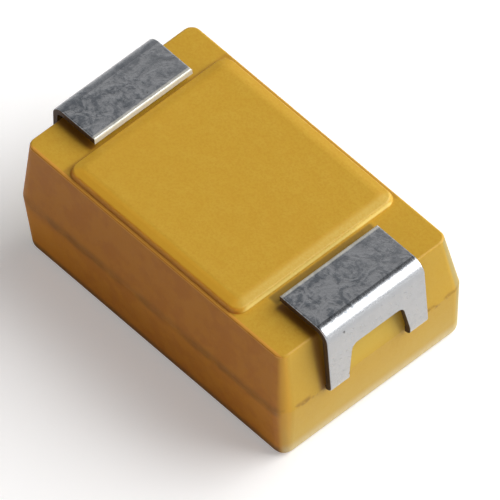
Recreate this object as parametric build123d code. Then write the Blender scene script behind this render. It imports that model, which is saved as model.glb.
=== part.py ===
"""Moulded surface-mount tantalum capacitor, standard 7.3 x 4.3 x 2.9 mm chip case.

Frame: millimetres, +Z up, origin at the middle of the flat marked face, which lies at Z = 0.
The solder pads face up (+Z). +X runs to the anode end, whose terminal is slotted.
The part is drawn as it lies on its marked face. On a circuit board it is turned over.

Each function below makes one piece, and main() writes one STEP file per piece.
"""
from build123d import *
import os
from math import radians, tan

# ---- moulded case: two drafted halves that meet at the mould's parting plane ----
CASE_LENGTH = 7.00          # at the parting plane, the largest section
CASE_WIDTH = 4.30
PARTING_HEIGHT = 1.33       # height of the parting plane, and of the lead frame, above the marked face
LEDGE_HEIGHT = 2.66         # level of the ledges that the pads lie over
CORNER_RADIUS = 0.30        # upright corners at the parting plane
LEDGE_CORNER_RADIUS = 0.19  # the same corners at the ledges
MARKED_CORNER_RADIUS = 0.22 # and at the marked face
LOWER_END_DRAFT = 6.2       # degrees, marked half
LOWER_SIDE_DRAFT = 2.2
UPPER_END_DRAFT = 6.4       # degrees, pad half
UPPER_SIDE_DRAFT = 8.6
MARKED_EDGE_RADIUS = 0.15   # round edge all along the marked face
RIM_RADIUS = 0.045          # edge between the walls and the ledges

# ---- raised platform between the two pads: a low steep step, then a gentle shoulder ----
PLATFORM_TOP = 2.805        # lower than the pads, which have to reach the board first
PLATFORM_FOOT_LENGTH = 4.52
PLATFORM_FOOT_WIDTH = 3.77
PLATFORM_MIDDLE = -0.125    # X of its middle, a little towards the cathode end
STEP_HEIGHT = 0.10
STEP_RUN = 0.047            # plan width of the step
SHOULDER_RUN = 0.18         # and of the shoulder
FOOT_CORNER = 0.24          # upright corners: at the foot, over the step and where the flat top starts
STEP_CORNER = 0.21
TOP_CORNER = 0.12
STEP_EDGE_RADIUS = 0.04     # round edge over the step
TOP_EDGE_RADIUS = 0.45      # and round the flat top

# ---- lead frame strip ----
STRIP_THICKNESS = 0.13
STRIP_WIDTH = 2.28
OVERALL_LENGTH = 7.30       # over the feet of the two legs
PAD_HEIGHT = 2.90           # soldered face of the pads, the highest point of the part
PAD_TIP = 2.42              # distance of a pad's sheared tip from the middle of the part
PAD_BEND = 0.28             # outer radius where a leg turns over the ledge
EXIT_BEND = 0.15            # outer radius where the strip leaves the case and turns up
CATHODE_LEAN = 0.10         # how far the cathode's leg leans in over its height; the anode's is upright
EDGE_ROLL = 0.035           # rolled edge that stamping leaves round the outer face of the strip

# ---- slot in the anode strip: it leaves two legs, and the moulding locks into its inner end ----
SLOT_TOP = 2.17             # height of its upper edge on the leg
SLOT_TOP_WIDTH = 1.18
SLOT_FOOT_WIDTH = 1.42      # it widens down to the case
SLOT_CORNER = 0.16
SLOT_INNER_END = 3.13       # X of its end inside the case

# ---- capacitor element ----
PELLET_LENGTH = 4.20
PELLET_WIDTH = 3.20
PELLET_THICKNESS = 1.50
PELLET_START = -2.25        # X of the end away from the wire
PELLET_EDGE = 0.25          # radius of its long edges
OXIDE_COAT = 0.04           # manganese dioxide, on every face
GRAPHITE_COAT = 0.03        # on every face except the wire end
SILVER_COAT = 0.05
ADHESIVE = 0.05

WIRE_DIAMETER = 0.30
WIRE_DEPTH = 0.90           # how far it is sintered into the pellet
WIRE_END = 3.02             # X of its welded end
WIRE_SEAT = 0.03            # how deep it sits in the groove coined in the tab
WASHER_DIAMETER = 0.90
WASHER_THICKNESS = 0.16

# ---- inner ends of the strips ----
TAB_TIP = 2.46              # X where the anode's weld tab starts
TAB_WIDTH = 0.95
TAB_SHOULDER = 2.92         # X where the tab widens to the full strip
CRADLE_END = -0.55          # X where the cathode's cradle ends under the element
CRADLE_BEND = 0.26          # outer radius of the two bends that step it down
CRADLE_RISER = -2.75        # X of the upright of that step

# ---- sizes that follow from those above ----
STRIP_LEVEL = PARTING_HEIGHT
LEG_MID = OVERALL_LENGTH / 2 - STRIP_THICKNESS / 2
PAD_MID = PAD_HEIGHT - STRIP_THICKNESS / 2
WIRE_HEIGHT = STRIP_LEVEL + STRIP_THICKNESS / 2 + WIRE_DIAMETER / 2 - WIRE_SEAT
PELLET_END = PELLET_START + PELLET_LENGTH
COATED_BOTTOM = WIRE_HEIGHT - PELLET_THICKNESS / 2 - OXIDE_COAT - GRAPHITE_COAT - SILVER_COAT
CRADLE_LEVEL = COATED_BOTTOM - ADHESIVE - STRIP_THICKNESS / 2


def section(length, width, radius, height):
    """One horizontal rounded-rectangle section of the moulding."""
    return Pos(0, 0, height) * RectangleRounded(length, width, radius)


def case_outside():
    """The moulding without its cavity: two drafted halves with the platform on them."""
    lower_end = PARTING_HEIGHT * tan(radians(LOWER_END_DRAFT))
    lower_side = PARTING_HEIGHT * tan(radians(LOWER_SIDE_DRAFT))
    upper_rise = LEDGE_HEIGHT - PARTING_HEIGHT
    upper_end = upper_rise * tan(radians(UPPER_END_DRAFT))
    upper_side = upper_rise * tan(radians(UPPER_SIDE_DRAFT))
    marked = section(CASE_LENGTH - 2 * lower_end, CASE_WIDTH - 2 * lower_side, MARKED_CORNER_RADIUS, 0)
    parting = section(CASE_LENGTH, CASE_WIDTH, CORNER_RADIUS, PARTING_HEIGHT)
    ledge = section(CASE_LENGTH - 2 * upper_end, CASE_WIDTH - 2 * upper_side, LEDGE_CORNER_RADIUS,
                    LEDGE_HEIGHT)
    lower_half = loft([marked, parting], ruled=True)
    lower_half = fillet(lower_half.faces().sort_by(Axis.Z)[0].edges(), MARKED_EDGE_RADIUS)
    upper_half = loft([parting, ledge], ruled=True)
    upper_half = fillet(upper_half.faces().sort_by(Axis.Z)[-1].edges(), RIM_RADIUS)
    return lower_half + upper_half + platform()


def platform():
    """Raised middle of the upper half: a low step all round, a gentle shoulder and the flat top."""
    step_top = LEDGE_HEIGHT + STEP_HEIGHT
    inset = 2 * STEP_RUN
    foot = section(PLATFORM_FOOT_LENGTH, PLATFORM_FOOT_WIDTH, FOOT_CORNER, LEDGE_HEIGHT)
    over_step = section(PLATFORM_FOOT_LENGTH - inset, PLATFORM_FOOT_WIDTH - inset, STEP_CORNER, step_top)
    inset += 2 * SHOULDER_RUN
    top = section(PLATFORM_FOOT_LENGTH - inset, PLATFORM_FOOT_WIDTH - inset, TOP_CORNER, PLATFORM_TOP)
    raised = loft([foot, over_step, top], ruled=True)
    raised = fillet(raised.faces().sort_by(Axis.Z)[-1].edges(), TOP_EDGE_RADIUS)
    step_edges = [edge for edge in raised.edges() if abs(edge.center().Z - step_top) < 0.001]
    raised = fillet(step_edges, STEP_EDGE_RADIUS)
    return Pos(PLATFORM_MIDDLE, 0, 0) * raised


def folded_strip(points, outer_radii, width):
    """Lead frame strip of one width, folded along a path of its middle surface in the XZ plane."""
    corners = [(x, 0, z) for x, z in points]
    middle_radii = [radius - STRIP_THICKNESS / 2 for radius in outer_radii]
    path = FilletPolyline(*corners, radius=middle_radii)
    start = Plane(origin=path @ 0, x_dir=(0, 1, 0), z_dir=path % 0)
    profile = start * Rectangle(width, STRIP_THICKNESS)
    return sweep(profile, path=path)


def rolled_edges(strip):
    """Round the outer face's edges along both sides of the pad, the bend and the leg, and at the tip."""
    outer_edges = []
    for edge in strip.edges():
        middle = edge.position_at(0.5)
        at_side = abs(abs(middle.Y) - STRIP_WIDTH / 2) < 0.001 and edge.bounding_box().size.Y < 0.001
        on_pad = abs(middle.Z - PAD_HEIGHT) < 0.001
        if on_pad and (at_side or abs(abs(middle.X) - PAD_TIP) < 0.001):
            outer_edges.append(edge)
    return fillet(outer_edges, EDGE_ROLL)


def anode_slot():
    """The space cut out of the anode strip: up the leg, round the exit bend and into the case."""
    foot = STRIP_LEVEL - STRIP_THICKNESS
    opening = make_face(Polyline((-SLOT_FOOT_WIDTH / 2, foot), (-SLOT_FOOT_WIDTH / 2, STRIP_LEVEL + EXIT_BEND),
                                 (-SLOT_TOP_WIDTH / 2, SLOT_TOP), (SLOT_TOP_WIDTH / 2, SLOT_TOP),
                                 (SLOT_FOOT_WIDTH / 2, STRIP_LEVEL + EXIT_BEND), (SLOT_FOOT_WIDTH / 2, foot),
                                 close=True))
    opening = fillet(opening.vertices().group_by(Axis.Y)[-1], SLOT_CORNER)
    on_leg = extrude(Plane.YZ.offset(CASE_LENGTH / 2) * opening, OVERALL_LENGTH - CASE_LENGTH)
    reach = OVERALL_LENGTH / 2 + 1 - SLOT_INNER_END
    in_case = RectangleRounded(reach, SLOT_FOOT_WIDTH, SLOT_CORNER)
    in_case = extrude(Pos(SLOT_INNER_END + reach / 2, 0, foot) * in_case, STRIP_THICKNESS * 2)
    return on_leg + in_case


def anode_terminal():
    """Slotted strip: pad, bend, two legs, exit bends, and the tab that the riser wire is welded to."""
    strip = folded_strip([(TAB_TIP, STRIP_LEVEL), (LEG_MID, STRIP_LEVEL), (LEG_MID, PAD_MID), (PAD_TIP, PAD_MID)],
                         [EXIT_BEND, PAD_BEND], STRIP_WIDTH)
    side_cut = (STRIP_WIDTH - TAB_WIDTH) / 2
    for side in (-1, 1):
        beside_tab = Box(TAB_SHOULDER - TAB_TIP, side_cut, STRIP_THICKNESS * 3)
        beside_tab = fillet(beside_tab.edges().filter_by(Axis.Z).sort_by(lambda edge: edge.center().X
                                                                         - side * edge.center().Y)[-1], 0.12)
        strip -= Pos((TAB_TIP + TAB_SHOULDER) / 2, side * (TAB_WIDTH + side_cut) / 2, STRIP_LEVEL) * beside_tab
    return rolled_edges(strip) - anode_slot() - riser_wire()


def cathode_terminal():
    """Plain strip that steps down inside the case to a cradle under the element."""
    strip = folded_strip([(CRADLE_END, CRADLE_LEVEL), (CRADLE_RISER, CRADLE_LEVEL), (CRADLE_RISER, STRIP_LEVEL),
                          (-LEG_MID, STRIP_LEVEL), (CATHODE_LEAN - LEG_MID, PAD_MID), (-PAD_TIP, PAD_MID)],
                         [CRADLE_BEND, CRADLE_BEND, EXIT_BEND, PAD_BEND], STRIP_WIDTH)
    return rolled_edges(strip)


def element_block(growth, growth_at_wire_end):
    """The pellet's block grown by a coat's thickness, with its long edges kept round."""
    length = PELLET_LENGTH + growth + growth_at_wire_end
    block = Box(length, PELLET_WIDTH + 2 * growth, PELLET_THICKNESS + 2 * growth)
    block = fillet(block.edges().filter_by(Axis.X), PELLET_EDGE + growth)
    return Pos(PELLET_START - growth + length / 2, 0, WIRE_HEIGHT) * block


def round_bar(start, end, diameter):
    """A cylinder along X on the axis of the riser wire."""
    return Pos((start + end) / 2, 0, WIRE_HEIGHT) * Rot(0, 90, 0) * Cylinder(diameter / 2, end - start)


def riser_wire():
    """Tantalum wire sintered into the pellet and welded to the anode tab."""
    return round_bar(PELLET_END - WIRE_DEPTH, WIRE_END, WIRE_DIAMETER)


def wire_washer():
    """Washer pushed along the wire against the pellet, to keep the oxide from creeping up it."""
    washer = round_bar(PELLET_END, PELLET_END + WASHER_THICKNESS, WASHER_DIAMETER)
    return washer - riser_wire()


def tantalum_pellet():
    """Sintered block with the wire's blind hole."""
    return element_block(0, 0) - riser_wire()


def manganese_dioxide_coat():
    """Coat over all six faces, open round the washer."""
    opening = round_bar(PELLET_END, PELLET_END + WASHER_THICKNESS, WASHER_DIAMETER)
    return element_block(OXIDE_COAT, OXIDE_COAT) - element_block(0, 0) - opening


def graphite_coat():
    """Thin coat over five faces: the wire end stays bare."""
    return element_block(OXIDE_COAT + GRAPHITE_COAT, OXIDE_COAT) - element_block(OXIDE_COAT, OXIDE_COAT)


def silver_coat():
    """Outer coat over the graphite, also open at the wire end."""
    inner = OXIDE_COAT + GRAPHITE_COAT
    return element_block(inner + SILVER_COAT, OXIDE_COAT) - element_block(inner, OXIDE_COAT)


def silver_adhesive():
    """Conductive glue between the silver coat and the cradle."""
    length = CRADLE_END - PELLET_START - 0.15
    patch = RectangleRounded(length, STRIP_WIDTH - 0.2, 0.2)
    return extrude(Pos(PELLET_START + 0.1 + length / 2, 0, COATED_BOTTOM - ADHESIVE) * patch, ADHESIVE)


def moulded_case(inner_pieces):
    """The moulding with everything that it was moulded round taken out of it."""
    case = case_outside()
    for piece in inner_pieces:
        case -= piece
    return case


def main():
    pieces = {
        "anode_terminal": anode_terminal(),
        "cathode_terminal": cathode_terminal(),
        "tantalum_pellet": tantalum_pellet(),
        "riser_wire": riser_wire(),
        "wire_washer": wire_washer(),
        "manganese_dioxide_coat": manganese_dioxide_coat(),
        "graphite_coat": graphite_coat(),
        "silver_coat": silver_coat(),
        "silver_adhesive": silver_adhesive(),
    }
    pieces["moulded_case"] = moulded_case(list(pieces.values()))
    os.makedirs("parts", exist_ok=True)
    for name, piece in pieces.items():
        export_step(piece, f"parts/{name}.step")
        box = piece.bounding_box()
        print(f"{name}: {len(piece.solids())} solid, {piece.volume:.3f} mm3, "
              f"{box.size.X:.3f} x {box.size.Y:.3f} x {box.size.Z:.3f} mm")


main()
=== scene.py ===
# %% [markdown]
# # A moulded tantalum chip capacitor, finished in Blender
#
# The part is a block of golden epoxy, 7 mm long, with a folded strip of tinned metal coming out of
# each end. It lies on its marked face with its two solder pads up. Its solids come ready made in the
# frame, at their real size, so this lesson gives each surface its finish, adds the thin flash that the
# mould leaves, and then sets up the floor, the lamps and the camera.
#
# Everything is in metres. Sizes that are easier to think of in millimetres are multiplied by `MM`. Only
# inside the materials are places in millimetres.

import math

import bpy
from mathutils import Matrix, Vector


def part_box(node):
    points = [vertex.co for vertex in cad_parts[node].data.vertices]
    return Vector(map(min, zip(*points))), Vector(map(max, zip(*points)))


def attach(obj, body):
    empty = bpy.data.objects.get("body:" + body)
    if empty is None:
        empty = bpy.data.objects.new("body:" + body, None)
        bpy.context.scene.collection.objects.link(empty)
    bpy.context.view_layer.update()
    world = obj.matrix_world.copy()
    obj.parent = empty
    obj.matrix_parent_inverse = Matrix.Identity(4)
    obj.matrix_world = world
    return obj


MM = 0.001


def in_mm(value):
    return round(value / MM, 3)


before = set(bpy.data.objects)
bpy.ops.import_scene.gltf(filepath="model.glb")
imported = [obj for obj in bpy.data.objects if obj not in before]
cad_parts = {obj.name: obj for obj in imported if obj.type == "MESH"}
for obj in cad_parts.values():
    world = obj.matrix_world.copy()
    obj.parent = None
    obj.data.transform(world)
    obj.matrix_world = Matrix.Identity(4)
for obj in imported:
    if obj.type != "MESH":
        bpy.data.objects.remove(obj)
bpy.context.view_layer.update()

# %% [markdown]
# ## Where things are
#
# No position is typed in here. The case is drafted both ways from the parting line, the plane where the
# two halves of the mould met, so its widest points lie on that line. Their height is the height of the
# line, and where the long sides end tells the radius of the corners. A strip is measured in the same
# way: its outermost points that aren't at its sides lie along the slot between its two legs.

# %% Measure the case and the strips
CLOSE = 0.0005 * MM

case_points = [vertex.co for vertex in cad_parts["moulded_case"].data.vertices]
half_length = max(point.x for point in case_points)
half_width = max(point.y for point in case_points)
on_long_side = [point for point in case_points if point.y > half_width - CLOSE]
parting_height = sum(point.z for point in on_long_side) / len(on_long_side)
corner_radius = half_length - max(point.x for point in on_long_side)
print("parting line at", in_mm(parting_height), "mm, corners of", in_mm(corner_radius), "mm")

strip_half_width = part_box("anode_terminal")[1][1]
strip_points = [vertex.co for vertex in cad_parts["anode_terminal"].data.vertices]
leg_points = [point for point in strip_points if point.x > half_length]
inside_strip = 0.9 * strip_half_width
slot_half_width = max(abs(point.y) for point in leg_points if abs(point.y) < inside_strip)
print("strip", in_mm(2 * strip_half_width), "mm wide, slot", in_mm(2 * slot_half_width), "mm")

# %% [markdown]
# Between the pads the case has a raised platform. The ledges round it are level, and their height turns
# up as the one at which the highest points of the two end walls lie. The platform's foot is then the
# only thing at that height between the tips of the pads.

# %% Measure the pads' tips and the platform
pad_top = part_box("anode_terminal")[1][2]
tip_end = min(point.x for point in strip_points if point.z > pad_top - CLOSE)
outer_points = [point for point in case_points if point.x > tip_end]
ledge_height = max(point.z for point in outer_points)
level_points = [point for point in case_points if abs(point.z - ledge_height) < CLOSE]
level_points = [point for point in level_points if abs(point.x) < tip_end]
foot_start = min(point.x for point in level_points)
foot_end = max(point.x for point in level_points)
foot_side = max(point.y for point in level_points)
print("tips at", in_mm(tip_end), "mm, ledges at", in_mm(ledge_height), "mm")
print("platform's foot", [in_mm(value) for value in (foot_start, foot_end, foot_side)])


# %% [markdown]
# ## Shader maths as Python
#
# A material is a tree of nodes, and long trees are hard to read. The class below wraps one output
# socket, so that an expression such as `1 - mask * 0.3` adds the Math nodes by itself. Every other node
# comes from `node`, which makes its settings first and fills its sockets after. Two kinds have a name of
# their own because every finish uses them: `step`, a smooth rise between two values, and `mix`, one
# colour over another.

# %% A socket with arithmetic
class Shade:
    """One output socket of a node tree. Arithmetic on it adds Math nodes to the tree."""

    def __init__(self, tree, socket=None):
        self.tree = tree
        self.socket = socket

    def node(self, kind, settings=None, sockets=None, output=0):
        made = self.tree.nodes.new(kind)
        for name, value in (settings or {}).items():
            if name == "stops":
                self.set_stops(made.color_ramp, value)
            else:
                setattr(made, name, value)
        for name, value in (sockets or {}).items():
            if isinstance(value, Shade):
                self.tree.links.new(value.socket, made.inputs[name])
            else:
                made.inputs[name].default_value = value
        return Shade(self.tree, made.outputs[output])

    @staticmethod
    def set_stops(ramp, stops):
        while len(ramp.elements) < len(stops):
            ramp.elements.new(1.0)
        for element, (place, colour) in zip(ramp.elements, stops):
            element.position = place
            element.color = colour

    def math(self, operation, first, second=0.0):
        return self.node("ShaderNodeMath", {"operation": operation}, {0: first, 1: second})

    def __add__(self, other):
        return self.math("ADD", self, other)

    def __radd__(self, other):
        return self.math("ADD", other, self)

    def __sub__(self, other):
        return self.math("SUBTRACT", self, other)

    def __rsub__(self, other):
        return self.math("SUBTRACT", other, self)

    def __mul__(self, other):
        return self.math("MULTIPLY", self, other)

    def __rmul__(self, other):
        return self.math("MULTIPLY", other, self)

    def __truediv__(self, other):
        return self.math("DIVIDE", self, other)

    def __abs__(self):
        return self.math("ABSOLUTE", self)

    def step(self, low, high):
        """0 below low, 1 above high, and a smooth rise between them."""
        sockets = {"Value": self, "From Min": low, "From Max": high}
        return self.node("ShaderNodeMapRange", {"interpolation_type": "SMOOTHSTEP"}, sockets)

    def mix(self, first, second):
        """The second colour over the first, with this value as the amount."""
        sockets = {0: self, 6: first, 7: second}
        return self.node("ShaderNodeMix", {"data_type": "RGBA"}, sockets, output=2)


# %% [markdown]
# ## One start for every finish
#
# Each finish begins the same way: a new material, its Principled shader, and the point's place in
# millimetres, read from Object coordinates. Each CAD piece has its object at the origin, so a pattern
# made from that place stays fixed to the metal or the plastic.

# %% A new finish
def new_finish(name):
    material = bpy.data.materials.new(name)
    material.use_nodes = True
    tree = material.node_tree
    shader = tree.nodes["Principled BSDF"]
    start = Shade(tree)
    coordinates = start.node("ShaderNodeTexCoord", output="Object")
    scale = {0: coordinates, "Scale": 1 / MM}
    place = start.node("ShaderNodeVectorMath", {"operation": "SCALE"}, scale)
    return material, shader, place


def set_socket(shader, name, value):
    if isinstance(value, Shade):
        value.tree.links.new(value.socket, shader.inputs[name])
    else:
        shader.inputs[name].default_value = value


def noise(place, scale, detail, roughness=0.5, distortion=0.0, output="Fac"):
    """Noise with this many lumps to a millimetre."""
    sockets = {"Vector": place, "Scale": scale, "Detail": detail, "Roughness": roughness}
    sockets["Distortion"] = distortion
    return place.node("ShaderNodeTexNoise", None, sockets, output)


def axis(place, name):
    """One of the three numbers of a place or a direction."""
    return place.node("ShaderNodeSeparateXYZ", None, {0: place}, name)


def raised(height, distance, strength, under=None):
    """A bump this many metres high at full strength, over another bump if one is given."""
    sockets = {"Height": height, "Distance": distance, "Strength": strength}
    if under is not None:
        sockets["Normal"] = under
    return height.node("ShaderNodeBump", None, sockets, "Normal")


def give(material, slot_name):
    """Puts a finish on every CAD piece whose record names that slot."""
    dressed = []
    for name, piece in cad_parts.items():
        if piece.material_slots[0].name.split(".")[0] == slot_name:
            piece.material_slots[0].material = material
            dressed.append(name)
    print(material.name, "is on", ", ".join(dressed))


# %% [markdown]
# ## The moulded epoxy
#
# The case is epoxy filled with fine silica and a golden pigment. The mould was spark eroded, which
# leaves a satin skin: light spreads wide on it, and very small hills and hollows break it up. The
# pigment isn't quite even, so the gold drifts a little towards straw and towards amber. A picture of
# real epoxy could be wrapped round the block, but it would stretch on the drafted walls. Noise in space
# doesn't. Three noises of different size do: a slow drift, clouds, and the fine grain of the skin.

# %% The gold and its drift
GOLD = (0.570, 0.328, 0.018, 1.0)
AMBER = (0.535, 0.275, 0.010, 1.0)
STRAW = (0.595, 0.366, 0.030, 1.0)


def tinted(under, colour, where, strength):
    """A colour laid over another where a mask says, and never more strongly than this."""
    return (where * strength).mix(under, colour)


epoxy, epoxy_shader, place = new_finish("golden_epoxy")

drift = noise(place, scale=0.9, detail=3.0)
cloud = noise(place, scale=3.5, detail=4.0, roughness=0.6)
skin = noise(place, scale=22.0, detail=3.0, roughness=0.6)

gold = tinted(GOLD, AMBER, drift.step(0.40, 0.75), strength=0.22)
gold = tinted(gold, STRAW, cloud.step(0.40, 0.70), strength=0.45)
gold = tinted(gold, AMBER, skin.step(0.38, 0.68), strength=0.62)
print("the drift of the gold takes", len(epoxy.node_tree.nodes), "nodes")

# %% [markdown]
# Much of the painted light and shade below belongs to one wall, one corner or one edge. Two things tell
# where a point of the case is: its place, and the direction in which its surface looks, which comes from
# the Geometry node. A mask made from the direction follows the rounded edges by itself, and one made
# from the place needs the sizes measured above, here in millimetres. The deep side is the long side in
# shade, whose colour is painted deepest.

# %% Masks for the walls
case_end = half_length / MM
line_height = parting_height / MM
ledge = ledge_height / MM
strip_side = strip_half_width / MM
slot_side = slot_half_width / MM
LOOKS_THAT_WAY = (0.45, 0.80)
WALL_TOP = (-0.04, -0.01)

along = axis(place, "X")
across = axis(place, "Y")
height = axis(place, "Z")
facing = place.node("ShaderNodeNewGeometry", output="Normal")
facing_end = axis(facing, "X")
facing_deep_side = 0 - axis(facing, "Y")

above_ledge = height - ledge
on_wall = 1 - above_ledge.step(*WALL_TOP)
on_deep_side = facing_deep_side.step(*LOOKS_THAT_WAY) * on_wall
on_end = abs(facing_end).step(*LOOKS_THAT_WAY) * on_wall
print("walls end at", round(ledge, 3), "mm, with the parting line at", round(line_height, 3), "mm")

# %% [markdown]
# The deep side is painted in shade: a deeper, more orange colour than the top, and blotchy. Painted
# light makes it paler low down towards the far end. The end walls are painted paler than the top, a
# painted sheen, and paler still with painted light between the legs of the slotted strip. The other end,
# also in shade, gets a breath of the deep side's painted shade. Each line lays one such colour over
# those before it.

# %% Gold on the walls, with painted shade, light and sheen
SHADE_GOLD = (0.580, 0.228, 0.006, 1.0)
SHADE_AMBER = (0.470, 0.150, 0.002, 1.0)
SIDE_PAINTED_LIGHT = (0.840, 0.350, 0.012, 1.0)
END_SHEEN_GOLD = (0.575, 0.352, 0.026, 1.0)
SLOT_LIGHT_GOLD = (0.620, 0.410, 0.042, 1.0)
FAR_END = (-0.95 * case_end, -0.25 * case_end)
LOW = (0.7 * line_height, line_height)
SLOT_EDGE = (0.75 * slot_side, slot_side)
SLOT_FOOT = (line_height - 0.1, line_height + 0.2)

blotches = noise(place, scale=2.3, detail=4.0, roughness=0.6)
far_and_low = (1 - along.step(*FAR_END)) * (1 - height.step(*LOW))
# Painted shade: the deep side's colour, with blotches in it
gold = on_deep_side.mix(gold, SHADE_GOLD)
gold = tinted(gold, SHADE_AMBER, on_deep_side * blotches.step(0.42, 0.62), strength=0.45)
# Painted light low down towards the far end of the deep side
gold = tinted(gold, SIDE_PAINTED_LIGHT, on_deep_side * far_and_low, strength=0.55)

# Painted sheen on the end walls, and painted shade on the far end
shaded_far_end = (0 - facing_end).step(0.30, 0.80) * on_wall
gold = tinted(gold, END_SHEEN_GOLD, on_end, strength=0.6)
gold = tinted(gold, SHADE_GOLD, shaded_far_end, strength=0.35)

# Painted light between the legs of the slotted strip
in_slot = (1 - abs(across).step(*SLOT_EDGE)) * height.step(*SLOT_FOOT)
gold = tinted(gold, SLOT_LIGHT_GOLD, on_end * in_slot * facing_end.step(0.5, 0.6), strength=0.8)
print("the colours of the walls bring that to", len(epoxy.node_tree.nodes), "nodes")

# %% [markdown]
# Of the two upright corners at the slotted end, the one on the deep side is painted pale as painted
# light, and the other gets painted shade. Below the parting line the end walls get a painted sheen, and
# along the bottom edge a whiter painted reflection. A corner is where a surface looks partly towards
# both of its walls, so the two directions multiplied give it.

# %% Corners and the painted sheen low on the end walls
CORNER_PALE = (0.820, 0.430, 0.030, 1.0)
CORNER_SHADE = (0.375, 0.285, 0.085, 1.0)
LOW_SHEEN = (0.590, 0.440, 0.120, 1.0)
EDGE_REFLECTION = (0.700, 0.600, 0.360, 1.0)
LOW_SHEEN_FADES = (0.10, line_height)
EDGE_REFLECTION_FADES = (0.13, 0.40)

part_end = facing_end.step(0.30, 0.72)
# Painted light: the corner on the deep side is painted pale
painted_lit_corner = part_end * facing_deep_side.step(0.02, 0.45) * on_wall
# Painted shade: the other corner is painted darker
painted_dark_corner = part_end * (0 - facing_deep_side).step(0.12, 0.42) * on_wall
gold = tinted(gold, CORNER_PALE, painted_lit_corner, strength=0.8)
gold = tinted(gold, CORNER_SHADE, painted_dark_corner, strength=0.9)

# Painted sheen below the parting line, and a painted reflection along the bottom edge
below_line = 1 - height.step(*LOW_SHEEN_FADES)
low_edge = 1 - height.step(*EDGE_REFLECTION_FADES)
gold = (on_end * below_line * (0.25 + 0.35 * cloud)).mix(gold, LOW_SHEEN)
gold = (on_end * low_edge * (0.25 + 0.80 * skin)).mix(gold, EDGE_REFLECTION)
print("painted_sheen reaches up to", round(line_height, 3), "mm")

# %% [markdown]
# The platform between the pads rises in a steep step and a gentle shoulder. Along the deep side the
# ledge below it is narrow, and its rim is painted redder and lighter, as painted light where the step
# shades it, with a painted highlight along its edge. There the step is painted orange, lighter towards
# its top as painted light and darkest at its foot as painted shade, and the shoulder is painted amber as
# shade. At the slotted end, a painted highlight makes the shoulder and the step paler. The rim comes
# first: it lies beyond the platform's foot, at the height of the ledge, and its edge is where the
# surface starts to turn down.

# %% The rim of the narrow ledge
RIM_ORANGE = (0.640, 0.290, 0.030, 1.0)
RIM_HIGHLIGHT = (0.950, 0.520, 0.090, 1.0)
foot_east = foot_end / MM
foot_edge = foot_side / MM
SLOPES_BEGIN = (0.005, 0.03)
RIM_BEGINS = (-0.06, -0.02)
RIM_ENDS = (-foot_edge - 0.01, -foot_edge + 0.01)

on_slopes = above_ledge.step(*SLOPES_BEGIN)
rim = (1 - across.step(*RIM_ENDS)) * above_ledge.step(*RIM_BEGINS)
rim_edge = facing_deep_side.step(0.20, 0.50) * (1 - facing_deep_side.step(0.930, 0.985))
# Painted light on the rim, and a painted highlight along its edge
gold = rim.mix(gold, RIM_ORANGE)
gold = (rim * rim_edge * (1 - on_slopes)).mix(gold, RIM_HIGHLIGHT)
print("the rim begins", round(foot_edge, 3), "mm from the middle line")

# %% [markdown]
# On the slopes themselves, the direction tells the two apart: the shoulder looks up and only a little
# towards the side, and the step looks mostly towards it. The ranges below are heights above the ledge
# in millimetres, except those of the painted highlight, which are distances past the platform's foot.

# %% Painted shade, light and highlights on the platform's slopes
SHOULDER_AMBER = (0.720, 0.370, 0.018, 1.0)
STEP_ORANGE = (0.900, 0.400, 0.012, 1.0)
FOOT_ORANGE = (0.600, 0.220, 0.002, 1.0)
SLOPE_HIGHLIGHT = (0.620, 0.430, 0.065, 1.0)
STEP_LIGHT = (0.880, 0.700, 0.210, 1.0)
STEP_LIGHTENS = (0.03, 0.08)
FOOT_FADES = (0.02, 0.07)
HIGHLIT_BEGINS = (-0.25, -0.15)
HIGHLIT_STEP_BEGINS = (-0.050, -0.020)
HIGHLIT_ENDS = (0.01, 0.05)
HIGHLIT_SIDE = (-foot_edge + 0.05, -foot_edge + 0.35)

# Painted shade on the deep side's shoulder and step, with painted light high on the step
deep_shoulder = facing_deep_side.step(0.05, 0.20) * on_slopes
deep_step = facing_deep_side.step(0.30, 0.70) * (1 - on_wall)
gold = tinted(gold, SHOULDER_AMBER, deep_shoulder, strength=0.7)
gold = tinted(gold, STEP_ORANGE, deep_step * above_ledge.step(*STEP_LIGHTENS), strength=0.8)
gold = (deep_step * (1 - above_ledge.step(*FOOT_FADES))).mix(gold, FOOT_ORANGE)

# Painted highlight on the slopes at the slotted end, and painted light on the step, which the pad's tip
# shades
east_of_foot = along - foot_east
highlit = east_of_foot.step(*HIGHLIT_BEGINS) * (1 - east_of_foot.step(*HIGHLIT_ENDS)) * on_slopes
highlit = highlit * across.step(*HIGHLIT_SIDE)
highlit_step = highlit * east_of_foot.step(*HIGHLIT_STEP_BEGINS)
gold = (highlit * (0.25 + 0.45 * skin.step(0.38, 0.58))).mix(gold, SLOPE_HIGHLIGHT)
gold = tinted(gold, STEP_LIGHT, highlit_step, strength=0.85)
print("the worn step ends", round(foot_east, 3), "mm from the middle of the part")

# %% [markdown]
# Painted shade lies in the corner at the platform's foot, and most of all in the gap between that foot
# and the tip of the pad. Each strip has a painted shadow on the case beside its cut edge. Shade like
# this lies at the bottom of steps and gaps, so the masks start there and fade within a tenth or two of a
# millimetre.

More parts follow.
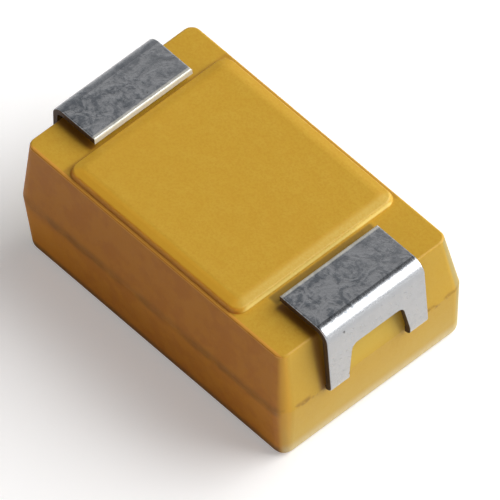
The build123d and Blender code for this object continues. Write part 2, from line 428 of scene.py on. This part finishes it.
# %% Painted shade at the platform's foot and painted shadows beside the strips
CREASE_SHADE = (0.400, 0.180, 0.010, 1.0)
GAP_SHADOW = (0.150, 0.095, 0.020, 1.0)
STRIP_SHADOW = (0.230, 0.075, 0.003, 1.0)
LEDGE_BEGINS = (-0.05, -0.02)
CREASE_SHADE_FADES = (0.01, 0.07)
GAP_BEGINS = (-0.01, 0.06)
GAP_ENDS = (0.20, 0.30)
STRIP_SHADOW_FADES = (0.02, 0.15)
BEYOND_TIP = (-0.05, 0.02)
JUST_ABOVE_LINE = (line_height - 0.03, line_height + 0.03)
foot_middle = (foot_start + foot_end) / 2 / MM
foot_reach = (foot_end - foot_start) / 2 / MM

past_end = abs(along - foot_middle) - foot_reach
past_side = abs(across) - foot_edge
past_foot = place.math("MAXIMUM", past_end, past_side)
on_ledge = above_ledge.step(*LEDGE_BEGINS) * (1 - on_slopes)

# Painted shade in the corner at the platform's foot
crease_shade = (1 - abs(past_foot - 0.01).step(*CREASE_SHADE_FADES)) * on_ledge * (1 - rim)
crease_shade = crease_shade * (1 - east_of_foot.step(-0.10, -0.02))
gold = tinted(gold, CREASE_SHADE, crease_shade, strength=0.55)

# Painted shadow in the gap between the platform's foot and the pad's tip
beside_tip = east_of_foot.step(*GAP_BEGINS) * (1 - east_of_foot.step(*GAP_ENDS)) * on_ledge
past_strip = strip_side - foot_edge
beside_tip = beside_tip * (1 - past_side.step(past_strip, past_strip + 0.08))
gold = tinted(gold, GAP_SHADOW, beside_tip, strength=0.7)

# Painted shadow of each strip on the case beside its cut edge
off_cut_edge = abs(across + strip_side + 0.02)
beyond_tip = abs(along) - tip_end / MM
strip_shadow = (1 - off_cut_edge.step(*STRIP_SHADOW_FADES)) * beyond_tip.step(*BEYOND_TIP) * (1 - on_slopes)
strip_shadow = strip_shadow * height.step(*JUST_ABOVE_LINE)
gold = tinted(gold, STRIP_SHADOW, strip_shadow, strength=0.75)
print("strip_shadows lie", round(strip_side, 3), "mm from the middle line")

# %% [markdown]
# An uneven painted shade follows under the parting line on both long sides, stronger on the deep one,
# with a few painted dark marks beside the legs at the ends. The edge that the part lies on gets painted
# shade on the deep side. A noise moves the line a little up and down.

# %% The shade under the parting line
LINE_SHADE = (0.220, 0.088, 0.003, 1.0)
CONTACT_SHADE = (0.070, 0.050, 0.020, 1.0)
WANDERS_BY = 0.10
SHADE_FADES = (0.02, 0.19)
MARKS_FADE = (0.01, 0.11)
BESIDE_LEGS = (strip_side - 0.2, strip_side + 0.1)
CONTACT_SHADE_FADES = (0.13, 0.32)

patches = noise(place, scale=1.7, detail=3.0, roughness=0.6)
off_line = abs(height - line_height + (patches - 0.5) * WANDERS_BY)
on_other_side = (0 - facing_deep_side).step(0.85, 0.95)
on_sides = on_deep_side * (1 - painted_lit_corner) + 0.5 * on_other_side
# Painted shade under the parting line, and painted dark marks beside the legs
near_line = (1 - off_line.step(*SHADE_FADES)) * on_sides
gold = (near_line * (0.18 + 0.36 * patches.step(0.36, 0.62))).mix(gold, LINE_SHADE)

beside_legs = abs(across).step(*BESIDE_LEGS)
marks = (1 - off_line.step(*MARKS_FADE)) * on_end * blotches.step(0.48, 0.60) * beside_legs
gold = tinted(gold, LINE_SHADE, marks, strength=0.65)

# Painted shade along the edge that the part lies on
at_floor = (1 - height.step(*CONTACT_SHADE_FADES)) * on_deep_side * (1 - painted_lit_corner)
gold = (at_floor * (0.45 + 0.55 * cloud)).mix(gold, CONTACT_SHADE)
print("the shade follows the line at", round(line_height, 3), "mm")

# %% [markdown]
# The makers print a plain stripe on the marked face at the positive end, which shows which way round the
# part goes. It is paint on a flat face, so one more mask in the case's colour does it. Its sides are
# given as shares of the way from the middle to the end.

# %% The polarity stripe
STRIPE_BROWN = (0.085, 0.032, 0.012, 1.0)
STRIPE_START = 0.68
STRIPE_END = 0.86
STRIPE_BLUR = 0.01
MARKED_FACE = (0.004, 0.012)

share_along = along / case_end
in_stripe = share_along.step(STRIPE_START, STRIPE_START + STRIPE_BLUR)
in_stripe = in_stripe * (1 - share_along.step(STRIPE_END, STRIPE_END + STRIPE_BLUR))
stripe = in_stripe * (1 - height.step(*MARKED_FACE)) * (0.9 + 0.1 * skin)
colour = stripe.mix(gold, STRIPE_BROWN)
print("stripe from", round(STRIPE_START * case_end, 3), "to", round(STRIPE_END * case_end, 3), "mm")

# %% [markdown]
# The roughness follows the finest noise, and the gap beside the pad's tip is duller than the rest. Two
# bumps, one over the other, give the satin skin and the slow swells under it. Both are only thousandths
# of a millimetre high, as on the real mould.

# %% The satin skin
SWELL_HEIGHT = 0.010 * MM
SKIN_HEIGHT = 0.0022 * MM

set_socket(epoxy_shader, "Base Color", colour)
set_socket(epoxy_shader, "Roughness", 0.46 + 0.12 * skin + 0.36 * beside_tip)
swell = raised(cloud, SWELL_HEIGHT, strength=0.5)
set_socket(epoxy_shader, "Normal", raised(skin, SKIN_HEIGHT, strength=0.5, under=swell))
give(epoxy, "case_epoxy")

# %% [markdown]
# ## The flash along the parting line
#
# Where the two halves of the mould met, a little epoxy crept between them and was broken off later. It
# leaves a thin ragged thread all round the case, heavier at the corner where the mould closed least
# well. The thread follows the case's outline at the height of the parting line and stops where the
# strips come out, so Geometry Nodes suit it: a rounded rectangle is cut into short steps, the steps
# under the strips are deleted, noise sets how thick the thread is, and a small ring is swept along it.
# Modelling it by hand would give the same thread with no way to change its raggedness later.

# %% Sizes of the flash
FLASH_SIZES = {
    "Half Length": half_length,
    "Half Width": half_width,
    "Height": parting_height,
    "Corner Radius": corner_radius,
    "Step": 0.035 * MM,
    "Stands Out": 0.032 * MM,
    "Half Thickness": 0.042 * MM,
    "Rise And Fall": 0.018 * MM,
    "Strip Half Width": strip_half_width + 0.02 * MM,
    "Slot Half Width": slot_half_width - 0.02 * MM,
    "Heavy Reach": 1.1 * MM,
}
print("flash stands out", in_mm(FLASH_SIZES["Stands Out"]), "mm at its heaviest")

# %% [markdown]
# The path comes first. A point deleted from a curve leaves its neighbours joined, and one deleted from a
# mesh takes its edges with it, so the outline becomes a mesh of edges for a moment and then a curve
# again, now with gaps. The flash goes on inside the slot, because the two halves met there too.

# %% The path round the case
ROUNDING_POINTS = 12
END_MARGIN = 0.02 * MM


def path_round_case(start, size, place):
    """The outline of the case as a curve, open where the strips come out."""
    sides = {"Width": 2 * size["Half Length"], "Height": 2 * size["Half Width"]}
    outline = start.node("GeometryNodeCurvePrimitiveQuadrilateral", {"mode": "RECTANGLE"}, sides)
    rounded = {"Curve": outline, "Radius": size["Corner Radius"], "Count": ROUNDING_POINTS}
    outline = start.node("GeometryNodeFilletCurve", {"mode": "POLY"}, rounded)
    steps = {"Curve": outline, "Length": size["Step"]}
    outline = start.node("GeometryNodeResampleCurve", {"mode": "LENGTH"}, steps)
    wire = start.node("GeometryNodeCurveToMesh", None, {"Curve": outline})

    east = axis(place, "X")
    across = abs(axis(place, "Y"))
    at_end = start.math("GREATER_THAN", abs(east), size["Half Length"] - END_MARGIN)
    under_strip = at_end * start.math("LESS_THAN", across, size["Strip Half Width"])
    at_slotted_end = start.math("GREATER_THAN", east, 0.0)
    in_slot = at_slotted_end * start.math("LESS_THAN", across, size["Slot Half Width"])
    cut = {"Geometry": wire, "Selection": under_strip * (1 - in_slot)}
    wire = start.node("GeometryNodeDeleteGeometry", {"domain": "POINT"}, cut)
    return start.node("GeometryNodeMeshToCurve", None, {"Mesh": wire})


# %% [markdown]
# Two noises make the thread look broken off: one for how thick it is, and a slower one for how it rises
# and falls about the line. Both read the place of the point on the thread, and both have a fixed seed,
# so the thread is the same each time.

# %% How thick the thread is and how it wanders
FLASH_SEED = 4.0
THICKNESS_LUMPS = 2.6
RISE_LUMPS = 0.9
RAGGED = (0.40, 0.68)
HEAVIER_BY = 0.16
LIGHT_SHARE = 0.08
LEAST = 0.02


def flash_noise(place, lumps):
    """Noise over the thread, with this many lumps to a millimetre and the flash's own seed."""
    moved = place.node("ShaderNodeVectorMath", {"operation": "SCALE"}, {0: place, "Scale": 1 / MM})
    sockets = {"Vector": moved, "W": FLASH_SEED, "Scale": lumps, "Detail": 3.0, "Roughness": 0.6}
    return place.node("ShaderNodeTexNoise", {"noise_dimensions": "4D"}, sockets)


def thread_thickness(start, size, place):
    """A share of the full size: under a tenth along most of the line, up to 1 near the heavy corner."""
    corner_place = {"X": size["Half Length"], "Y": -1 * size["Half Width"]}
    corner = start.node("ShaderNodeCombineXYZ", None, corner_place)
    measure = {"operation": "DISTANCE"}
    away = start.node("ShaderNodeVectorMath", measure, {0: place, 1: corner}, "Value")
    heavy = 1 - (away / size["Heavy Reach"]).step(0.0, 1.0)
    ragged = (flash_noise(place, THICKNESS_LUMPS) + HEAVIER_BY * heavy).step(*RAGGED)
    return ragged * (LIGHT_SHARE + (1 - LIGHT_SHARE) * heavy) + LEAST


def thread_height(start, size, place):
    """How far up the thread lies, as an offset from the floor."""
    wander = flash_noise(place, RISE_LUMPS) - 0.5
    lift = size["Height"] + wander * size["Rise And Fall"] * 2
    return start.node("ShaderNodeCombineXYZ", None, {"Z": lift})


# %% [markdown]
# The tree joins the two. Its inputs are named after the sizes above. A flat ring is swept along the path
# and scaled by the thickness, and the ends are capped, so the thread is a closed body.

# %% The whole tree
RING_SIDES = 8


def flash_tree():
    tree = bpy.data.node_groups.new("mould_flash", "GeometryNodeTree")
    for name in FLASH_SIZES:
        tree.interface.new_socket(name, in_out="INPUT", socket_type="NodeSocketFloat")
    tree.interface.new_socket("Finish", in_out="INPUT", socket_type="NodeSocketMaterial")
    tree.interface.new_socket("Geometry", in_out="OUTPUT", socket_type="NodeSocketGeometry")
    inputs = tree.nodes.new("NodeGroupInput")
    size = {socket.name: Shade(tree, socket) for socket in inputs.outputs if socket.name}
    start = Shade(tree)
    place = start.node("GeometryNodeInputPosition")

    lifted = {"Geometry": path_round_case(start, size, place)}
    lifted["Offset"] = thread_height(start, size, place)
    thread = start.node("GeometryNodeSetPosition", None, lifted)
    thread = start.node("GeometryNodeSetCurveNormal", {"mode": "Z_UP"}, {"Curve": thread})
    circle = {"Resolution": RING_SIDES, "Radius": 1.0}
    ring = start.node("GeometryNodeCurvePrimitiveCircle", None, circle)
    ring_size = {"X": size["Stands Out"], "Y": size["Half Thickness"], "Z": 1.0}
    flat = start.node("ShaderNodeCombineXYZ", None, ring_size)
    ring = start.node("GeometryNodeTransform", None, {"Geometry": ring, "Scale": flat})

    sweep = {"Curve": thread, "Profile Curve": ring, "Fill Caps": True}
    sweep["Scale"] = thread_thickness(start, size, place)
    body = start.node("GeometryNodeCurveToMesh", None, sweep)
    body = start.node("GeometryNodeSetShadeSmooth", None, {"Geometry": body})
    body = start.node("GeometryNodeRealizeInstances", None, {"Geometry": body})
    finished = {"Geometry": body, "Material": size["Finish"]}
    body = start.node("GeometryNodeSetMaterial", None, finished)
    output = tree.nodes.new("NodeGroupOutput")
    tree.links.new(body.socket, output.inputs["Geometry"])
    print(tree.name, "has", len(tree.nodes), "nodes")
    return tree


# %% [markdown]
# A modifier reads a tree's inputs by the identifiers of its sockets. The result is copied into a plain
# mesh, and the object that carried the modifier goes, so nothing live is left in the finished piece.

# %% Run the tree and keep a plain mesh
def plain_piece(name, tree, values):
    holder = bpy.data.objects.new(name + "_holder", bpy.data.meshes.new(name + "_holder"))
    bpy.context.scene.collection.objects.link(holder)
    modifier = holder.modifiers.new(name, "NODES")
    modifier.node_group = tree
    for item in tree.interface.items_tree:
        if item.in_out == "INPUT":
            modifier[item.identifier] = values[item.name]
    evaluated = holder.evaluated_get(bpy.context.evaluated_depsgraph_get())
    mesh = bpy.data.meshes.new_from_object(evaluated)
    bpy.data.objects.remove(holder)
    mesh.name = name
    piece = bpy.data.objects.new(name, mesh)
    bpy.context.scene.collection.objects.link(piece)
    return piece


flash = plain_piece("parting_flash", flash_tree(), {**FLASH_SIZES, "Finish": epoxy})
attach(flash, "root")
flash_end = max(vertex.co.x for vertex in flash.data.vertices)
print("flash has", len(flash.data.polygons), "faces and reaches", in_mm(flash_end), "mm along")

# %% [markdown]
# ## The tinned strip
#
# Each terminal is stamped from a copper alloy strip, plated with matte tin and then folded. Tin sets in
# small soft hills, some tenths of a millimetre wide and only a few degrees steep. What they reflect
# changes from hill to hill, so a bump makes the mottling: where the surroundings change quickly, as
# over the pads, it shows strongly, and where they are even, as in front of the legs, it hardly does.
# A noise whose own place is pushed about by another noise gives hills that swirl, as they do in tin.

# %% Hills in the tin
PUSHED_BY = 0.15

tin, tin_shader, place = new_finish("matte_tin")

push = noise(place, scale=3.0, detail=3.0, roughness=0.6, output="Color")
pushed = {0: PUSHED_BY, 6: place, 7: push}
bent = place.node("ShaderNodeMix", {"data_type": "RGBA"}, pushed, output=2)
swirl = noise(bent, scale=2.4, detail=3.0, roughness=0.60, distortion=2.0)
grain = noise(place, scale=15.0, detail=3.0, roughness=0.6)
print("hills and grain take", len(tin.node_tree.nodes), "nodes")

# %% [markdown]
# Painted patches would show everywhere alike, so the paint is only a tarnish that lies mostly on the
# pads, less on the part's far side, with a few dark pits, and a painted dark reflection in a band where
# each fold starts. A fold stretches the tin on its outside, so the hills are drawn flat there. How far a
# surface leans along the strip tells where it is on the fold: 0 on a pad and 1 on the outside of a leg.

# %% Tarnish, pits and the painted reflection at the fold
TIN = (0.515, 0.525, 0.540, 1.0)
TARNISH = (0.165, 0.185, 0.210, 1.0)
FOLD_SHADE = (0.11, 0.12, 0.135, 1.0)
PIT = (0.12, 0.12, 0.12, 1.0)
PAD_BEGINS = (pad_top / MM - 0.10, pad_top / MM - 0.04)
BRIGHTENS = (-0.7 * strip_side, 0.965 * strip_side)

on_pad = axis(place, "Z").step(*PAD_BEGINS)
lean = axis(place.node("ShaderNodeNewGeometry", output="Normal"), "X")
tilt = abs(lean)
fold_start = tilt.step(0.02, 0.08) * (1 - lean.step(0.22, 0.36)) * on_pad
on_bend = tilt.step(0.05, 0.30) * (1 - tilt.step(0.85, 0.98))

most_tarnish = 1.20 - 0.50 * axis(place, "Y").step(*BRIGHTENS)
tarnish = (0.6 * swirl + 0.4 * grain).step(0.42, 0.60) * (0.08 + 0.62 * on_pad * most_tarnish)
pits = noise(place, scale=7.0, detail=2.0).step(0.72, 0.78)
tint = tarnish.mix(TIN, TARNISH)
# Painted dark reflection where each fold starts
tint = tinted(tint, FOLD_SHADE, fold_start, strength=0.55)
tint = tinted(tint, PIT, pits, strength=0.8)
print("the strips count as pads from", round(PAD_BEGINS[0], 3), "mm up")

# %% [markdown]
# Stamping leaves bare alloy on the long cut edges, and it has gone brown; it is painted darker still as
# painted shade beside those edges. The tips of the pads were cut last, and the shears dragged the tin
# over them, so those are pale and dull, and a painted highlight runs along the pad beside them. The
# direction
# that a face looks in tells them apart: across the strip for a cut edge, along it for a tip. The outside
# of a leg also looks along the strip, but it lies further out.

# %% Cut edges and tips
BARE_ALLOY_IN_SHADE = (0.050, 0.024, 0.008, 1.0)
DRAGGED_TIN_AND_HIGHLIGHT = (0.72, 0.69, 0.57, 1.0)
TIP_FACE_REACH = (0.08, 0.12)
TIP_HIGHLIGHT_REACH = (0.03, 0.06)

facing = place.node("ShaderNodeNewGeometry", output="True Normal")
cut_edge = abs(axis(facing, "Y")).step(0.70, 0.90)
from_tip = abs(axis(place, "X")) - tip_end / MM
tip_face = abs(axis(facing, "X")).step(*LOOKS_THAT_WAY) * (1 - from_tip.step(*TIP_FACE_REACH))
# Painted highlight along the pad beside each tip
tip_highlight = on_pad * 0.50 * (1 - from_tip.step(*TIP_HIGHLIGHT_REACH))
tip = place.math("MAXIMUM", tip_face, tip_highlight)
# Bare alloy painted darker as shade on the cut edges, pale tin and a painted highlight at the tips
tint = cut_edge.mix(tip.mix(tint, DRAGGED_TIN_AND_HIGHLIGHT), BARE_ALLOY_IN_SHADE)
print("tips at", in_mm(tip_end), "mm are pale")

# %% [markdown]
# Bare alloy and dragged tin reflect less clearly than the plating, so the two masks also take away some
# of the metal's shine. The bump of the hills is calmed on the fold, where the tin is drawn flat.

# %% The finished tin
HILL_HEIGHT = 0.011 * MM
GRAIN_HEIGHT = 0.0022 * MM

set_socket(tin_shader, "Base Color", tint)
set_socket(tin_shader, "Metallic", 1 - 0.9 * tip - 0.7 * cut_edge)
set_socket(tin_shader, "Roughness", 0.21 + 0.10 * grain + 0.30 * tip + 0.30 * cut_edge)
calm = 1 - 0.6 * on_bend
hills = raised((swirl - 0.5) * calm, HILL_HEIGHT, strength=0.6)
grainy_hills = raised((grain - 0.5) * calm, GRAIN_HEIGHT, strength=0.6, under=hills)
set_socket(tin_shader, "Normal", grainy_hills)
give(tin, "tinned_strip")


# %% [markdown]
# ## The pieces inside
#
# Nothing shows of them while the case is whole, but the part is also looked at in pieces. The anode is
# pressed from tantalum powder and sintered, so it is dark and full of pores. The coats that follow are a
# black crust of manganese dioxide, a smooth grey film of carbon, and silver paint with fine flakes. The
# wire is drawn bright, and the washer on it is white plastic. They are alike in structure: two colours
# that a noise mixes, a roughness and a bump. So one function makes them all.

# %% One function for the inner pieces
def mottled(name, slot_name, dark, light, scale, rough, depth, metallic=0.0):
    """Two colours mixed by noise, with a bump of the same noise."""
    material, shader, place = new_finish(name)
    coarse = noise(place, scale, detail=4.0, roughness=0.65)
    fine = noise(place, scale * 5, detail=3.0, roughness=0.6)
    amount = (0.6 * coarse + 0.4 * fine).step(0.35, 0.65)
    set_socket(shader, "Base Color", amount.mix((*dark, 1.0), (*light, 1.0)))
    set_socket(shader, "Metallic", metallic)
    set_socket(shader, "Roughness", rough + 0.15 * fine)
    under = raised(fine, depth / 3, strength=0.6)
    set_socket(shader, "Normal", raised(coarse, depth, strength=0.6, under=under))
    give(material, slot_name)


# %% [markdown]
# Metal pieces get a metallic value: full for the wire, less for the powdery anode and for silver flakes
# in paint or glue. Each call names the finish, the slot that it goes to, its dark and its light colour,
# the lumps to a millimetre, the roughness and the depth of the bump.

# %% Finishes of the metal pieces inside
mottled("porous_tantalum", "sintered_tantalum", (0.035, 0.036, 0.040), (0.11, 0.11, 0.12),
        scale=14.0, rough=0.65, depth=0.03 * MM, metallic=0.6)
mottled("drawn_tantalum", "tantalum_wire", (0.30, 0.31, 0.34), (0.46, 0.47, 0.50),
        scale=9.0, rough=0.22, depth=0.004 * MM, metallic=1.0)
mottled("flaked_silver", "silver_paint", (0.46, 0.45, 0.42), (0.72, 0.71, 0.68),
        scale=12.0, rough=0.38, depth=0.014 * MM, metallic=0.9)
mottled("silver_paste", "silver_glue", (0.34, 0.33, 0.31), (0.60, 0.59, 0.57),
        scale=12.0, rough=0.45, depth=0.016 * MM, metallic=0.8)

# %% [markdown]
# The other three aren't metal, so they keep a metallic value of 0. The crust is the roughest of them and
# has the deepest bump, and the washer is as smooth as its mould left it.

# %% Finishes of the other pieces inside
mottled("white_washer", "washer_plastic", (0.70, 0.70, 0.67), (0.82, 0.82, 0.80),
        scale=6.0, rough=0.35, depth=0.005 * MM)
mottled("black_crust", "manganese_dioxide", (0.008, 0.008, 0.009), (0.035, 0.033, 0.032),
        scale=10.0, rough=0.55, depth=0.04 * MM)
mottled("carbon_film", "graphite", (0.020, 0.020, 0.022), (0.055, 0.055, 0.060),
        scale=8.0, rough=0.38, depth=0.012 * MM)

# %% [markdown]
# ## Floor and backdrop
#
# The part lies on a pale table. The lamps light it at a plain level, at which a colour renders about as
# it is written, so a floor that is white only because it is lit would need more light than the gold can
# take. Light Path tells what kind of ray has met a surface, so the floor can look white to the camera
# and in reflections, and still throw only a plain amount of light onto the part.

# %% What kind of ray sees a surface
def seen_in_view(start):
    """1 for a ray that comes straight from the camera."""
    return start.node("ShaderNodeLightPath", output="Is Camera Ray")


def seen_in_mirror(start):
    """1 for a ray that has come off something glossy or through glass."""
    glossy = start.node("ShaderNodeLightPath", output="Is Glossy Ray")
    through = start.node("ShaderNodeLightPath", output="Is Transmission Ray")
    return start.math("MAXIMUM", glossy, through)


# %% [markdown]
# A ray from the camera finds a faint glow on the floor, so it reaches white. A ray off metal, or through
# glass, finds a brighter matte white. Both stay darker where the part takes the light away, so the
# shadow is kept. Light that the floor throws back onto the part comes from its plain colour. The floor
# lies a hair below the marked face, because two faces in one plane show through each other.

# %% Floor
FLOOR_SIZE = 1.2
FLOOR_GAP = 0.004 * MM
FLOOR_PALE = (0.70, 0.70, 0.70, 1.0)
FLOOR_MIRRORED = (1.00, 1.00, 1.00, 1.0)
FLOOR_IN_VIEW = (0.82, 0.82, 0.82, 1.0)
FLOOR_GLOW = 0.30


def make_floor():
    bpy.ops.mesh.primitive_plane_add(size=FLOOR_SIZE, location=(0, 0, -FLOOR_GAP))
    floor = bpy.context.object
    floor.name = "floor"
    material = bpy.data.materials.new("pale_floor")
    material.use_nodes = True
    tree = material.node_tree
    tree.nodes.remove(tree.nodes["Principled BSDF"])
    start = Shade(tree)
    plain = start.node("ShaderNodeBsdfDiffuse", None, {"Color": FLOOR_PALE})
    mirrored = start.node("ShaderNodeBsdfDiffuse", None, {"Color": FLOOR_MIRRORED})
    in_view = start.node("ShaderNodeBsdfDiffuse", None, {"Color": FLOOR_IN_VIEW})
    glow = start.node("ShaderNodeEmission", None, {"Strength": FLOOR_GLOW})
    in_view = start.node("ShaderNodeAddShader", None, {0: in_view, 1: glow})
    shown = start.node("ShaderNodeMixShader", None, {0: seen_in_mirror(start), 1: plain, 2: mirrored})
    shown = start.node("ShaderNodeMixShader", None, {0: seen_in_view(start), 1: shown, 2: in_view})
    tree.links.new(shown.socket, tree.nodes["Material Output"].inputs["Surface"])
    floor.data.materials.append(material)
    print(floor.name, "is", FLOOR_SIZE, "m wide and lies", in_mm(FLOOR_GAP), "mm below the part")


make_floor()

# %% [markdown]
# Round the table stands a low white backdrop. Above it the room is dim, and its ceiling is dark. The
# pads lie flat and mirror the place where wall and ceiling meet, and that is why they look darker than
# the legs, which mirror the table, and why the tin's hills show there. In a world, Texture Coordinate
# gives the direction in which a ray leaves, and a ramp over its height holds the whole picture. Matte
# surfaces get one dim even light instead.

# %% Backdrop and room
ROOM_LIGHT = 0.11
BACKDROP_TO_CEILING = [
    (0.00, (1.0, 1.0, 1.0, 1.0)),
    (0.08, (1.0, 1.0, 1.0, 1.0)),
    (0.22, (0.62, 0.62, 0.63, 1.0)),
    (0.60, (0.57, 0.57, 0.58, 1.0)),
    (0.75, (0.51, 0.51, 0.52, 1.0)),
    (0.88, (0.05, 0.05, 0.05, 1.0)),
]

world = bpy.data.worlds.new("backdrop_and_room")
world.use_nodes = True
bpy.context.scene.world = world
start = Shade(world.node_tree)
direction = start.node("ShaderNodeTexCoord", output="Generated")
stops = {"stops": BACKDROP_TO_CEILING}
picture = start.node("ShaderNodeValToRGB", stops, {"Fac": axis(direction, "Z")})
room = start.node("ShaderNodeBackground", None, {"Color": (1, 1, 1, 1), "Strength": ROOM_LIGHT})
mirrored = start.node("ShaderNodeBackground", None, {"Color": picture, "Strength": 1.0})
seen = seen_in_view(start).math("MAXIMUM", seen_in_view(start), seen_in_mirror(start))
surround = start.node("ShaderNodeMixShader", None, {0: seen, 1: room, 2: mirrored})
world_output = world.node_tree.nodes["World Output"]
world.node_tree.links.new(surround.socket, world_output.inputs["Surface"])
print(world.name, "has", len(BACKDROP_TO_CEILING), "stops from the table's level up to the ceiling")

# %% [markdown]
# ## Lamps
#
# One large soft lamp hangs beside the part, over the slotted end and the far long side. It lights the
# flat top and that end, catches the bend of the strip, and leaves the near long side in shade. A small
# warm lamp low on the near side keeps that shade brown and not grey. Both are area lamps that look at
# the middle of the part, and each is set by its compass angle, its height angle, its size and its power.

# %% Soft lamps
LAMP_DISTANCE = 0.40


def soft_lamp(name, compass, height, size, watts, colour=(1.0, 1.0, 1.0)):
    """An area lamp on a circle round the part: compass 0 is over +X, 90 over +Y."""
    data = bpy.data.lights.new(name, "AREA")
    data.shape = "SQUARE"
    data.size = size
    data.energy = watts
    data.color = colour
    lamp = bpy.data.objects.new(name, data)
    compass = math.radians(compass)
    height = math.radians(height)
    level = math.cos(height)
    toward = Vector((level * math.cos(compass), level * math.sin(compass), math.sin(height)))
    lamp.location = toward * LAMP_DISTANCE
    lamp.rotation_euler = toward.to_track_quat("Z", "Y").to_euler()
    bpy.context.scene.collection.objects.link(lamp)
    print(name, "gives", watts, "W from", size, "m across")


soft_lamp("key_lamp", compass=60, height=36, size=0.45, watts=3.10)
soft_lamp("fill_lamp", compass=285, height=18, size=0.35, watts=0.20, colour=(1.0, 0.60, 0.38))

# %% [markdown]
# ## Camera
#
# The camera stands far away for so small a part and has a very long lens, so parallel edges stay nearly
# parallel. It looks down on the corner between the deep side and the slotted end, and it is held
# slightly off level. Its place is worked out from those three angles, its distance, and how far the
# point that it aims at lies from the part's middle line. The axes of its matrix are its right, its up
# and its back, because a camera looks along its own minus Z.

# %% Camera
CAMERA_TURN = 52.211
CAMERA_HEIGHT = 51.319
CAMERA_ROLL = -5.026
CAMERA_DISTANCE = 355.219 * MM
SENSOR = 36.0
LENS = 1466.9
NEAREST_SEEN = 0.01
AIM_UP = 1.4 * MM
AIM_RIGHT = 0.1683 * MM
AIM_DOWN = 0.2499 * MM


def place_camera():
    turn = math.radians(CAMERA_TURN)
    height = math.radians(CAMERA_HEIGHT)
    roll = math.radians(CAMERA_ROLL)
    level = math.cos(height)
    back = Vector((level * math.sin(turn), -level * math.cos(turn), math.sin(height)))
    level_right = Vector((0, 0, 1)).cross(back).normalized()
    level_up = back.cross(level_right)
    right = math.cos(roll) * level_right + math.sin(roll) * level_up
    up = math.cos(roll) * level_up - math.sin(roll) * level_right
    data = bpy.data.cameras.new("camera")
    data.sensor_width = SENSOR
    data.lens = LENS
    data.clip_start = NEAREST_SEEN
    camera = bpy.data.objects.new("camera", data)
    aim = Vector((0, 0, AIM_UP)) + AIM_RIGHT * right - AIM_DOWN * up
    turned = Matrix((right, up, back)).transposed().to_4x4()
    camera.matrix_world = Matrix.Translation(aim + CAMERA_DISTANCE * back) @ turned
    bpy.context.scene.collection.objects.link(camera)
    bpy.context.scene.camera = camera
    print("camera at", [in_mm(value) for value in camera.matrix_world.translation], "mm")


place_camera()
bpy.context.scene.view_settings.view_transform = "Standard"
